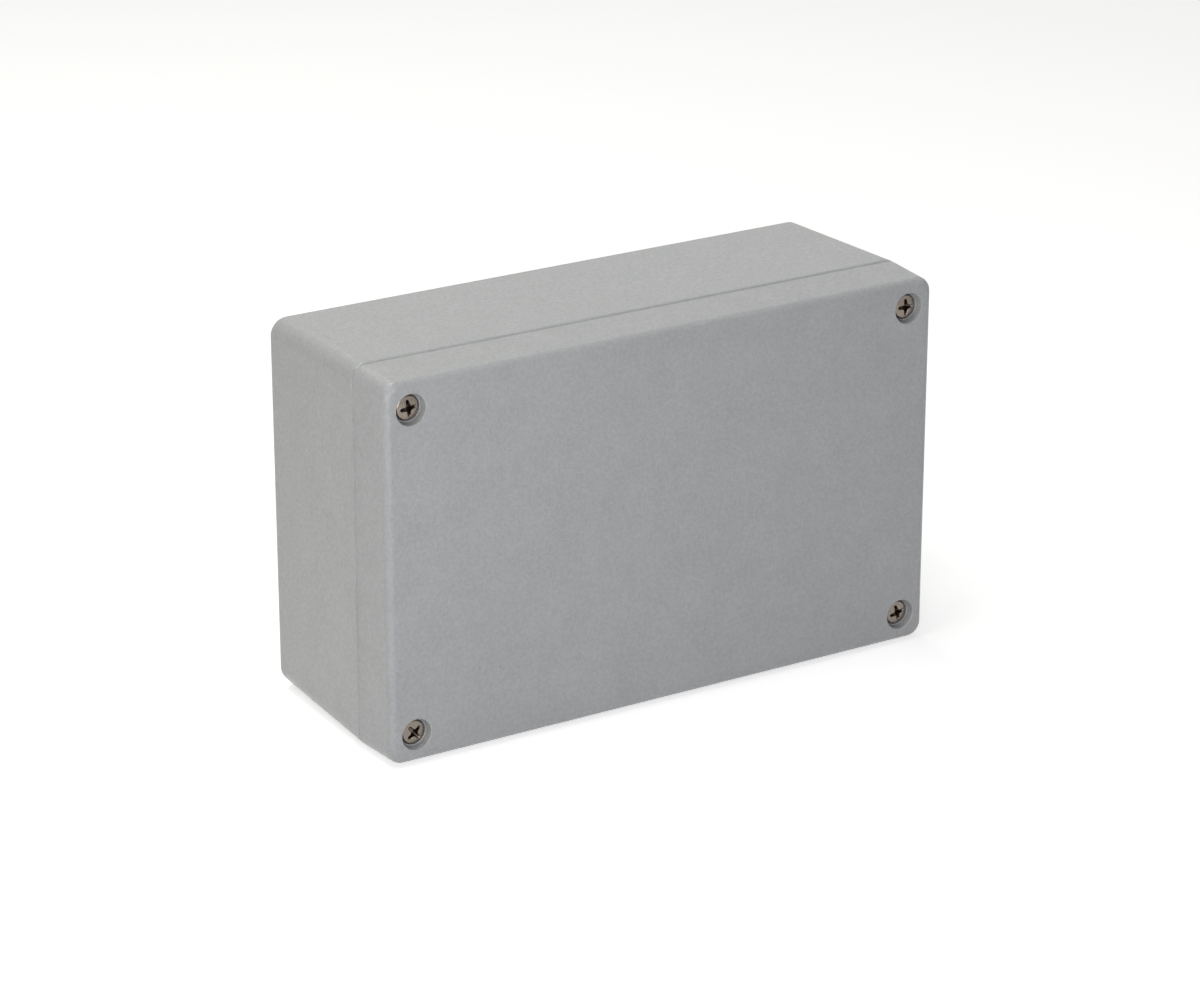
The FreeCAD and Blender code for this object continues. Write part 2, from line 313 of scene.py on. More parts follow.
def skin(name, rings):
    """A closed surface through rings of equally many points."""
    work = bmesh.new()
    rows = [[work.verts.new(p) for p in ring] for ring in rings]
    count = len(rows[0])
    work.faces.new(rows[0])
    work.faces.new(rows[-1])
    for low, high in zip(rows, rows[1:]):
        for i in range(count):
            j = (i + 1) % count
            work.faces.new((low[i], low[j], high[j], high[i]))
    return new_object(name, closed_mesh(name, work))


def level(outline, y):
    """An outline set at a depth in the box."""
    return [Vector((x, y, z + MIDDLE_Z)) for x, z in outline]


def turned(name, profile, steps=48):
    """A solid turned about the Y axis from (radius, y) points that begin and end on the axis."""
    work = bmesh.new()
    first = work.verts.new((0, profile[0][1], 0))
    last = work.verts.new((0, profile[-1][1], 0))
    rows = []
    for radius, y in profile[1:-1]:
        row = []
        for i in range(steps):
            a = 2 * math.pi * i / steps
            row.append(work.verts.new((radius * math.sin(a), y, radius * math.cos(a))))
        rows.append(row)
    for i in range(steps):
        j = (i + 1) % steps
        work.faces.new((first, rows[0][i], rows[0][j]))
        work.faces.new((last, rows[-1][j], rows[-1][i]))
        for low, high in zip(rows, rows[1:]):
            work.faces.new((low[i], high[i], high[j], low[j]))
    return new_object(name, closed_mesh(name, work))


def settle(piece):
    """The piece's modifiers made into its mesh, and its place moved into it."""
    bpy.context.view_layer.update()
    seen = piece.evaluated_get(bpy.context.evaluated_depsgraph_get())
    mesh = bpy.data.meshes.new_from_object(seen)
    mesh.transform(piece.matrix_world)
    old = piece.data
    piece.modifiers.clear()
    piece.data = mesh
    piece.matrix_world = Matrix.Identity(4)
    bpy.data.meshes.remove(old)
    return piece


def discard(*pieces):
    for piece in pieces:
        mesh = piece.data
        bpy.data.objects.remove(piece)
        bpy.data.meshes.remove(mesh)


def paint(piece, *materials, index=0):
    """Gives a piece the same list of materials as its neighbours, and all its faces one of them."""
    piece.data.materials.clear()
    for material in materials:
        piece.data.materials.append(material)
    piece.data.polygons.foreach_set("material_index", [index] * len(piece.data.polygons))
    return piece


def combined(piece, operation, tools):
    """Adds or cuts the tools, which are used up, one by one."""
    for tool in tools:
        before = volume(piece)
        change = piece.modifiers.new("change", "BOOLEAN")
        change.operation = operation
        change.solver = "EXACT"
        change.object = tool
        settle(piece)
        least = 1e-4 * abs(volume(tool))
        if abs(volume(piece) - before) < least:
            raise RuntimeError(tool.name + " changed nothing on " + piece.name)
        discard(tool)
    return piece


def smoothed(piece, degrees=32):
    """Soft shading over the rounded edges, with the flat faces kept flat."""
    piece.data.shade_smooth()
    piece.data.set_sharp_from_angle(angle=math.radians(degrees))
    weighted = piece.modifiers.new("weighted", "WEIGHTED_NORMAL")
    weighted.keep_sharp = True
    weighted.weight = 100
    return settle(piece)


def outwards(piece):
    """Joins a swept piece's seam and turns its faces outwards."""
    work = bmesh.new()
    work.from_mesh(piece.data)
    bmesh.ops.remove_doubles(work, verts=work.verts, dist=1e-7)
    face_out(work)
    work.to_mesh(piece.data)
    work.free()


# Geometry nodes

def add(tree, kind, inputs=None, **settings):
    """Adds a node with its settings, and fills or links its inputs; a node there gives its first output."""
    node = tree.nodes.new(kind)
    for name, value in settings.items():
        setattr(node, name, value)
    for key, value in (inputs or {}).items():
        if isinstance(value, bpy.types.Node):
            value = value.outputs[0]
        if isinstance(value, bpy.types.NodeSocket):
            tree.links.new(value, node.inputs[key])
        else:
            node.inputs[key].default_value = value
    return node


def new_tree(name, inputs):
    """A geometry tree with a geometry input and named inputs, as (tree, inputs by name, their keys)."""
    tree = bpy.data.node_groups.new(name, "GeometryNodeTree")
    tree.interface.new_socket("Geometry", in_out="INPUT", socket_type="NodeSocketGeometry")
    tree.interface.new_socket("Geometry", in_out="OUTPUT", socket_type="NodeSocketGeometry")
    keys = {}
    for title, kind in inputs:
        socket = tree.interface.new_socket(title, in_out="INPUT", socket_type="NodeSocket" + kind)
        keys[title] = socket.identifier
    start = tree.nodes.new("NodeGroupInput")
    return tree, start.outputs, keys


def end_tree(tree, geometry, material):
    """Ends a geometry tree with real meshes in their material."""
    realized = add(tree, "GeometryNodeRealizeInstances", {"Geometry": geometry})
    named = add(tree, "GeometryNodeSetMaterial", {"Geometry": realized, "Material": material})
    add(tree, "NodeGroupOutput", {"Geometry": named})


def with_tree(piece, tree, keys, **values):
    """Runs a tree on a piece and keeps the result as its mesh."""
    made = piece.modifiers.new(tree.name, "NODES")
    made.node_group = tree
    for title, value in values.items():
        made[keys[title.replace("_", " ")]] = value
    return settle(piece)


def corner_tree():
    """Sets a copy of one piece at each point."""
    tree, given, keys = new_tree("copies_at_corners", [("Piece", "Object"), ("Material", "Material")])
    info = add(tree, "GeometryNodeObjectInfo", {"Object": given["Piece"]})
    repeated = add(tree, "GeometryNodeInstanceOnPoints",
                   {"Points": given["Geometry"], "Instance": info.outputs["Geometry"]})
    end_tree(tree, repeated, given["Material"])
    return tree, keys


def seal_tree():
    """Runs a rounded rectangular section along the seal's path."""
    tree, given, keys = new_tree("band_along_seal", [
        ("Width", "Float"), ("Height", "Float"), ("Edge", "Float"), ("Material", "Material")])
    path = add(tree, "GeometryNodeMeshToCurve", {"Mesh": given["Geometry"]})
    radius = add(tree, "GeometryNodeInputNamedAttribute", {"Name": "bend"}, data_type="FLOAT")
    bent = add(tree, "GeometryNodeFilletCurve", {"Curve": path, "Radius": radius, "Count": 12}, mode="POLY")
    upright = add(tree, "GeometryNodeSetCurveNormal", {"Curve": bent}, mode="Z_UP")
    section = add(tree, "GeometryNodeCurvePrimitiveQuadrilateral",
                  {"Width": given["Width"], "Height": given["Height"]})
    rounded = add(tree, "GeometryNodeFilletCurve", {"Curve": section, "Radius": given["Edge"], "Count": 4},
                  mode="POLY")
    band = add(tree, "GeometryNodeCurveToMesh", {"Curve": upright, "Profile Curve": rounded})
    end_tree(tree, band, given["Material"])
    return tree, keys


def thread_tree():
    """Moves the wall of a turned piece in or out along a right-hand thread about the Y axis."""
    tree, given, keys = new_tree("thread_on_shank", [
        ("Pitch", "Float"), ("Depth", "Float"), ("Start", "Float"), ("End", "Float"), ("Run out", "Float"),
        ("Least", "Float"), ("Material", "Material")])
    place = add(tree, "GeometryNodeInputPosition")
    x, y, z = add(tree, "ShaderNodeSeparateXYZ", {0: place}).outputs
    turn = add(tree, "ShaderNodeMath", {0: x, 1: z}, operation="ARCTAN2")
    turns = add(tree, "ShaderNodeMath", {0: turn, 1: 2 * math.pi}, operation="DIVIDE")
    pitches = add(tree, "ShaderNodeMath", {0: y, 1: given["Pitch"]}, operation="DIVIDE")
    phase = add(tree, "ShaderNodeMath", {0: pitches, 1: turns}, operation="SUBTRACT")
    part = add(tree, "ShaderNodeMath", {0: phase}, operation="FRACT")
    doubled = add(tree, "ShaderNodeMath", {0: part, 1: 2.0}, operation="MULTIPLY")
    wave = add(tree, "ShaderNodeMath", {0: doubled, 1: 1.0}, operation="PINGPONG")
    # A flat root and crest with a slope between them
    flank = add(tree, "ShaderNodeMapRange", {"Value": wave, 1: 0.12, 2: 0.85, 3: 0.0, 4: 1.0})
    from_start = add(tree, "ShaderNodeMath", {0: y, 1: given["Start"]}, operation="SUBTRACT")
    to_end = add(tree, "ShaderNodeMath", {0: given["End"], 1: y}, operation="SUBTRACT")
    starting, ending = [
        add(tree, "ShaderNodeMapRange", {"Value": distance, 1: 0.0, 2: given["Run out"], 3: 0.0, 4: 1.0})
        for distance in (from_start, to_end)]
    flat_place = add(tree, "ShaderNodeCombineXYZ", {0: x, 2: z})
    reach = add(tree, "ShaderNodeVectorMath", {0: flat_place}, operation="LENGTH").outputs["Value"]
    on_wall = add(tree, "ShaderNodeMath", {0: reach, 1: given["Least"]}, operation="GREATER_THAN")
    amount = add(tree, "ShaderNodeMath", {0: flank, 1: given["Depth"]}, operation="MULTIPLY")
    for share in (on_wall, starting, ending):
        amount = add(tree, "ShaderNodeMath", {0: amount, 1: share}, operation="MULTIPLY")
    away = add(tree, "ShaderNodeVectorMath", {0: flat_place}, operation="NORMALIZE")
    move = add(tree, "ShaderNodeVectorMath", {0: away, "Scale": amount}, operation="SCALE")
    moved = add(tree, "GeometryNodeSetPosition", {"Geometry": given["Geometry"], "Offset": move})
    end_tree(tree, moved, given["Material"])
    return tree, keys


def clip_tree():
    """A flat open ring with rounded edges, from an arc about the Y axis."""
    tree, given, keys = new_tree("open_ring", [
        ("Middle radius", "Float"), ("Width", "Float"), ("Thickness", "Float"), ("Opening", "Float"),
        ("Edge", "Float"), ("Material", "Material")])
    sweep = add(tree, "ShaderNodeMath", {0: 2 * math.pi, 1: given["Opening"]}, operation="SUBTRACT")
    half = add(tree, "ShaderNodeMath", {0: given["Opening"], 1: 0.5}, operation="MULTIPLY")
    start = add(tree, "ShaderNodeMath", {0: half, 1: math.pi / 2}, operation="SUBTRACT")
    arc = add(tree, "GeometryNodeCurveArc", {"Resolution": 72, "Radius": given["Middle radius"],
                                             "Start Angle": start, "Sweep Angle": sweep})
    upright = add(tree, "GeometryNodeSetCurveNormal", {"Curve": arc}, mode="Z_UP")
    section = add(tree, "GeometryNodeCurvePrimitiveQuadrilateral",
                  {"Width": given["Width"], "Height": given["Thickness"]})
    rounded = add(tree, "GeometryNodeFilletCurve", {"Curve": section, "Radius": given["Edge"], "Count": 3},
                  mode="POLY")
    ring = add(tree, "GeometryNodeCurveToMesh",
               {"Curve": upright, "Profile Curve": rounded, "Fill Caps": True})
    about_y = add(tree, "GeometryNodeTransform", {"Geometry": ring, "Rotation": (math.pi / 2, 0, 0)})
    end_tree(tree, about_y, given["Material"])
    return tree, keys


def copies(piece, places, material):
    """One piece repeated at (x, z) places about the middle of the box, as one mesh."""
    points = bpy.data.meshes.new(piece.name + "_places")
    points.from_pydata([(x, 0, z + MIDDLE_Z) for x, z in places], [], [])
    repeated = new_object(piece.name + "_copies", points)
    tree, keys = corner_tree()
    with_tree(repeated, tree, keys, Piece=piece, Material=material)
    discard(piece)
    return repeated


def seal_band(name, casting, width, start_y, end_y, edge, material):
    """A band along the middle of the tongue."""
    corners = stepped_corners(casting, casting.tongue_width / 2)
    path = bpy.data.meshes.new(name)
    count = len(corners)
    path.from_pydata([(x, z, 0) for x, z, kind in corners], [(i, (i + 1) % count) for i in range(count)], [])
    bends = path.attributes.new("bend", "FLOAT", "POINT")
    half = casting.tongue_width / 2
    radii = [casting.pad_outer + half if kind > 0 else casting.pad_inner - half for x, z, kind in corners]
    bends.data.foreach_set("value", radii)
    band = new_object(name, path)
    tree, keys = seal_tree()
    with_tree(band, tree, keys, Width=width, Height=end_y - start_y, Edge=edge, Material=material)
    place = Matrix.Translation((0, (start_y + end_y) / 2, MIDDLE_Z))
    band.data.transform(place @ Matrix.Rotation(math.pi / 2, 4, "X"))
    outwards(band)
    return band


# Materials

def new_material(name):
    """A new material's empty tree, and the place on the piece to which its patterns are tied."""
    material = bpy.data.materials.new(name)
    material.use_nodes = True
    tree = material.node_tree
    tree.nodes.clear()
    return tree, add(tree, "ShaderNodeTexCoord").outputs["Object"]


def per_size(millimetres):
    """The texture scale that gives a grain about this size."""
    return 1 / (millimetres * MM)


def powder_coated_alloy(finish):
    """Die casting alloy under baked polyester powder: an even satin grey with a fine stippled skin."""
    tree, place = new_material("powder_coated_alloy")
    # The coat's thickness drifts over about 9 mm, and its pigment is uneven over somewhat less than 1 mm
    drift = add(tree, "ShaderNodeTexNoise", {"Vector": place, "Scale": per_size(9.0), "Detail": 3.0})
    cloud = add(tree, "ShaderNodeMapRange", {"Value": drift, 1: 0.3, 2: 0.7, 3: 0.0, 4: 0.3})
    pigment = add(tree, "ShaderNodeTexNoise",
                  {"Vector": place, "Scale": per_size(0.9), "Detail": 3.0, "Roughness": 0.6})
    grit = add(tree, "ShaderNodeMapRange", {"Value": pigment, 1: 0.34, 2: 0.66, 3: 0.0, 4: 1.0})
    speckle = add(tree, "ShaderNodeMath", {0: grit, 1: 0.7}, operation="MULTIPLY")
    tone = add(tree, "ShaderNodeMath", {0: cloud, 1: speckle}, operation="ADD")
    shade = add(tree, "ShaderNodeMix", {"Factor": tone, "A": (*finish.coat_dark, 1), "B": (*finish.coat, 1)},
                data_type="RGBA")
    satin = add(tree, "ShaderNodeMapRange", {"Value": grit, 1: 0.0, 2: 1.0, 3: 0.42, 4: 0.3})
    # The powder melts into low swells about 1.4 mm across with a grit of about half a millimetre on them
    swell = add(tree, "ShaderNodeTexNoise", {"Vector": place, "Scale": per_size(1.4), "Detail": 2.0})
    fine = add(tree, "ShaderNodeTexNoise",
               {"Vector": place, "Scale": per_size(0.5), "Detail": 3.0, "Roughness": 0.65})
    low = add(tree, "ShaderNodeMath", {0: swell, 1: 0.4}, operation="MULTIPLY")
    high = add(tree, "ShaderNodeMath", {0: fine, 1: 0.6}, operation="MULTIPLY")
    height = add(tree, "ShaderNodeMath", {0: low, 1: high}, operation="ADD")
    bump = add(tree, "ShaderNodeBump", {"Strength": 1.0, "Distance": 0.28 * MM, "Height": height})
    # The melted powder's glossier skin over its satin body
    shader = add(tree, "ShaderNodeBsdfPrincipled", {
        "Base Color": shade.outputs["Result"], "Roughness": satin, "Normal": bump, "IOR": 1.5,
        "Coat Weight": 0.35, "Coat Roughness": 0.14, "Coat Normal": bump})
    add(tree, "ShaderNodeOutputMaterial", {"Surface": shader})


def machined_alloy(finish):
    """Bare die casting alloy where a tap or drill has cut it: bright, with fine tool marks."""
    tree, place = new_material("machined_alloy")
    # Real tool marks are finer than 0.25 mm, and wouldn't show
    marks = add(tree, "ShaderNodeTexNoise", {"Vector": place, "Scale": per_size(0.25), "Detail": 2.0})
    dull = add(tree, "ShaderNodeMapRange", {"Value": marks, 1: 0.3, 2: 0.7, 3: 0.3, 4: 0.48})
    bump = add(tree, "ShaderNodeBump", {"Strength": 0.3, "Distance": 0.02 * MM, "Height": marks})
    shader = add(tree, "ShaderNodeBsdfPrincipled", {
        "Base Color": (*finish.alloy, 1), "Metallic": 1.0, "Roughness": dull, "Normal": bump})
    add(tree, "ShaderNodeOutputMaterial", {"Surface": shader})


def stainless_steel(name, shade, rough):
    """Stainless steel: warm grey, softly polished by tumbling, with small handling marks."""
    tree, place = new_material(name)
    darker = tuple(v * 0.82 for v in shade)
    # The marks of tumbling are drawn 0.35 mm across, coarser than they are, to show at all
    marks = add(tree, "ShaderNodeTexNoise", {"Vector": place, "Scale": per_size(0.35), "Detail": 3.0})
    share = add(tree, "ShaderNodeMapRange", {"Value": marks, 1: 0.35, 2: 0.7, 3: 0.0, 4: 1.0})
    tone = add(tree, "ShaderNodeMix", {"Factor": share, "A": (*darker, 1), "B": (*shade, 1)},
               data_type="RGBA")
    dull = add(tree, "ShaderNodeMapRange", {"Value": marks, 1: 0.3, 2: 0.7, 3: rough - 0.05, 4: rough + 0.09})
    bump = add(tree, "ShaderNodeBump", {"Strength": 0.25, "Distance": 0.02 * MM, "Height": marks})
    shader = add(tree, "ShaderNodeBsdfPrincipled", {
        "Base Color": tone.outputs["Result"], "Metallic": 1.0, "Roughness": dull, "Normal": bump})
    add(tree, "ShaderNodeOutputMaterial", {"Surface": shader})


def black_neoprene(finish):
    """Moulded cellular neoprene: matt black with fine pores."""
    tree, place = new_material("black_neoprene")
    lighter = tuple(v * 1.8 for v in finish.rubber)
    # The pores are drawn 0.3 mm across, coarser than they are, to show at all
    pores = add(tree, "ShaderNodeTexNoise",
                {"Vector": place, "Scale": per_size(0.3), "Detail": 4.0, "Roughness": 0.6})
    share = add(tree, "ShaderNodeMapRange", {"Value": pores, 1: 0.35, 2: 0.75, 3: 0.0, 4: 1.0})
    tone = add(tree, "ShaderNodeMix", {"Factor": share, "A": (*finish.rubber, 1), "B": (*lighter, 1)},
               data_type="RGBA")
    bump = add(tree, "ShaderNodeBump", {"Strength": 0.5, "Distance": 0.08 * MM, "Height": pores})
    shader = add(tree, "ShaderNodeBsdfPrincipled", {
        "Base Color": tone.outputs["Result"], "Roughness": 0.75, "Normal": bump})
    add(tree, "ShaderNodeOutputMaterial", {"Surface": shader})


# Cutters and bosses, made about the Y axis

def thread_rows(radius, start, end, pitch):
    """Profile points close enough together to take a thread."""
    rows_per_turn = 8
    count = max(2, round((end - start) / pitch * rows_per_turn))
    return [(radius, start + (end - start) * i / count) for i in range(count + 1)]


def threaded_hole(name, radius, mouth_y, hole_depth, depth, pitch, material):
    """A drilled and tapped hole with a small countersink and a drill's conical end."""
    sink = 0.35 * MM
    start = mouth_y + sink
    end = mouth_y + min(hole_depth - 0.5 * MM, LONGEST_THREAD)
    tip = radius / math.tan(DRILL_POINT)
    profile = [(0, mouth_y - OVER), (radius + sink + OVER, mouth_y - OVER)]
    profile += thread_rows(radius, start, end, pitch)
    profile += [(radius, mouth_y + hole_depth), (0, mouth_y + hole_depth + tip)]
    hole = turned(name, profile, 40)
    tree, keys = thread_tree()
    return with_tree(hole, tree, keys, Pitch=pitch, Depth=depth, Start=start, End=end,
                     Run_out=0.3 * MM, Least=radius * 0.95, Material=material)


def counterbore(holes, screws):
    """The lid screw's counterbore, hole and clip pocket, with the coat's rounded edge at its mouth."""
    radius = holes.counterbore / 2
    edge = holes.counterbore_edge
    seat = HEAD_TOP_Y + screws.head_height
    bore = holes.screw_hole / 2
    pocket = holes.pocket / 2
    pocket_y = JOINT_Y - holes.pocket_depth
    profile = [(0, FRONT_Y - OVER), (radius + edge + OVER, FRONT_Y - OVER)]
    profile += [(radius + inset, FRONT_Y + depth) for inset, depth in fillet(edge, 6, False)]
    # Casting and coat round off the counterbore's foot, and the seat is spot-faced a little narrower
    tight = screws.head / 2 + holes.head_gap
    corner = 0.1 * MM
    foot, foot_y = radius - SMALL_EDGE, FRONT_Y + holes.foot_depth
    profile += [(foot - (foot - tight) * (1 - math.cos(a)), foot_y + SMALL_EDGE * math.sin(a))
                for a in quarter(5)]
    profile += [(tight, seat - corner), (tight - corner, seat)]
    profile += [(bore + TOOL_EDGE, seat), (bore, seat + TOOL_EDGE), (bore, pocket_y)]
    profile += [(pocket, pocket_y), (pocket, JOINT_Y - SMALL_EDGE)]
    profile += [(pocket + SMALL_EDGE + OVER, JOINT_Y + OVER), (0, JOINT_Y + OVER)]
    return turned("counterbore", profile, 64)


def board_boss(casting, holes):
    """A drafted boss with a rounded foot."""
    radius = holes.boss / 2
    floor_y = BACK_Y - casting.floor
    top = floor_y - holes.boss_height
    base = radius + math.tan(BOSS_DRAFT) * holes.boss_height
    foot = 1.2 * MM
    bend_in = 0.09 * MM
    profile = [(0, top), (radius - SMALL_EDGE, top)]
    profile += [(radius - bend_in, top + bend_in), (radius, top + SMALL_EDGE)]
    profile += [(base + foot * (1 - math.cos(a)), floor_y - foot * (1 - math.sin(a))) for a in quarter(6)]
    profile += [(base + foot, floor_y + OVER), (0, floor_y + OVER)]
    return turned("board_boss", profile, 48)


def mounting_well(casting, holes):
    """A cored well and its hole through the back."""
    radius = holes.mount_well / 2
    seat = BACK_Y - holes.mount_seat
    bore = holes.mount_hole / 2
    foot_radius = radius - math.tan(casting.core_draft) * (seat - JOINT_Y) / 2
    edge = 0.4 * MM
    bend_in, foot = 0.15 * MM, 0.5 * MM
    profile = [(0, JOINT_Y - OVER), (radius + edge + OVER, JOINT_Y - OVER)]
    profile += [(radius + inset, JOINT_Y + depth) for inset, depth in fillet(edge, 4, False)]
    profile += [(foot_radius, seat - foot), (foot_radius - bend_in, seat - bend_in)]
    profile += [(foot_radius - foot, seat), (bore, seat), (bore, BACK_Y - SMALL_EDGE)]
    profile += [(bore + SMALL_EDGE + OVER, BACK_Y + OVER), (0, BACK_Y + OVER)]
    return turned("mounting_well", profile, 56)


def ejector_marks(name, reach_z, face_y, facing):
    """Six shallow round prints that the ejector pins leave in the casting."""
    over_y, print_y = face_y - facing * OVER, face_y + facing * PRINT_DEPTH
    profile = [(0, over_y), (PRINT_RADIUS, over_y), (PRINT_RADIUS, print_y), (0, print_y)]
    places = [(x, z) for x in (-PRINT_SPACING, 0, PRINT_SPACING) for z in (-reach_z, reach_z)]
    return copies(turned(name, profile, 36), places, None)


def screw_places():
    """The lid screws' (x, z) places about the middle of the box, from the joints."""
    places = {}
    for joint in frame["record"]["behaviour"]["joints"]:
        if joint["type"] == "hinge":
            x, _, z = joint["pos_m"]
            places[joint["child"]] = (x, z - MIDDLE_Z)
    return places


# Operators

class BoxOperator:
    """What the operators share."""
    bl_options = {"REGISTER", "UNDO"}


class OBJECT_OT_box_stage(BoxOperator, Operator):
    """Adds the camera, the soft lamps, the pale floor and the backdrop"""
    bl_idname = "object.box_stage"
    bl_label = "Stage"

    def execute(self, context):
        stage = context.scene.box_stage
        camera = bpy.data.cameras.new("camera")
        camera.lens = stage.focal_length
        camera.sensor_width = 36.0
        camera.clip_start, camera.clip_end = 0.05, 20.0
        holder = bpy.data.objects.new("camera", camera)
        context.scene.collection.objects.link(holder)
        yaw, pitch = stage.yaw, stage.pitch
        back = Vector((-math.sin(yaw) * math.cos(pitch), -math.cos(yaw) * math.cos(pitch), math.sin(pitch)))
        right = Vector((math.cos(yaw), -math.sin(yaw), 0))
        up = back.cross(right)
        middle = Vector((0, JOINT_Y, MIDDLE_Z))
        place = middle + back * stage.distance - right * stage.shift_right - up * stage.shift_up
        turn = Matrix((right, up, back)).transposed()
        holder.matrix_world = Matrix.Translation(place) @ turn.to_4x4()
        context.scene.camera = holder
        self.lamps(context)
        self.floor(context, stage)
        self.world(context)
        context.scene.view_settings.view_transform = "Standard"
        return {"FINISHED"}

    def lamps(self, context):
        """Round soft lamps that face the middle of the box."""
        middle = Vector((0, 0, MIDDLE_Z))
        for name, turn, height, distance, size, power, tint in LAMPS:
            turn, height = math.radians(turn), math.radians(height)
            place = middle + distance * Vector((-math.sin(turn) * math.cos(height),
                                                -math.cos(turn) * math.cos(height), math.sin(height)))
            lamp = bpy.data.lights.new(name, "AREA")
            lamp.shape = "DISK"
            lamp.size = size
            lamp.energy = power
            lamp.color = linear(tint)
            holder = bpy.data.objects.new(name, lamp)
            context.scene.collection.objects.link(holder)
            aim = (middle - place).to_track_quat("-Z", "Y").to_matrix().to_4x4()
            holder.matrix_world = Matrix.Translation(place) @ aim

    def floor(self, context, stage):
        """A level floor that shows white, and keeps the box's shadow."""
        mesh = bpy.data.meshes.new("floor")
        sides = ((-1, -1), (1, -1), (1, 1), (-1, 1))
        mesh.from_pydata([(x * FLOOR_REACH, y * FLOOR_REACH, 0) for x, y in sides], [], [(0, 1, 2, 3)])
        floor = new_object("floor", mesh)
        material = bpy.data.materials.new("pale_floor")
        material.use_nodes = True
        tree = material.node_tree
        tree.nodes.clear()
        matt = add(tree, "ShaderNodeBsdfDiffuse", {"Color": (*stage.floor, 1)})
        strength = self.seen(tree, 0.0, FLOOR_GLOW)
        glow = add(tree, "ShaderNodeEmission", {"Color": (1, 1, 1, 1), "Strength": strength})
        both = add(tree, "ShaderNodeAddShader", {0: matt, 1: glow})
        add(tree, "ShaderNodeOutputMaterial", {"Surface": both})
        mesh.materials.append(material)

    def world(self, context):
        """A white room, which lights the box only softly."""
        world = bpy.data.worlds.new("soft_room")
        world.use_nodes = True
        tree = world.node_tree
        tree.nodes.clear()
        strength = self.seen(tree, ROOM_LIGHT, 1.0)
        room = add(tree, "ShaderNodeBackground", {"Color": (1, 1, 1, 1), "Strength": strength})
        add(tree, "ShaderNodeOutputWorld", {"Surface": room})
        context.scene.world = world

    def seen(self, tree, otherwise, strength):
        """A strength for rays from the camera, off gloss and through glass, and another for the rest."""
        path = add(tree, "ShaderNodeLightPath").outputs
        seen = add(tree, "ShaderNodeMath", {0: path["Is Camera Ray"], 1: path["Is Glossy Ray"]},
                   operation="MAXIMUM")
        seen = add(tree, "ShaderNodeMath", {0: seen, 1: path["Is Transmission Ray"]}, operation="MAXIMUM")
        return add(tree, "ShaderNodeMapRange", {"Value": seen, 1: 0.0, 2: 1.0, 3: otherwise, 4: strength})


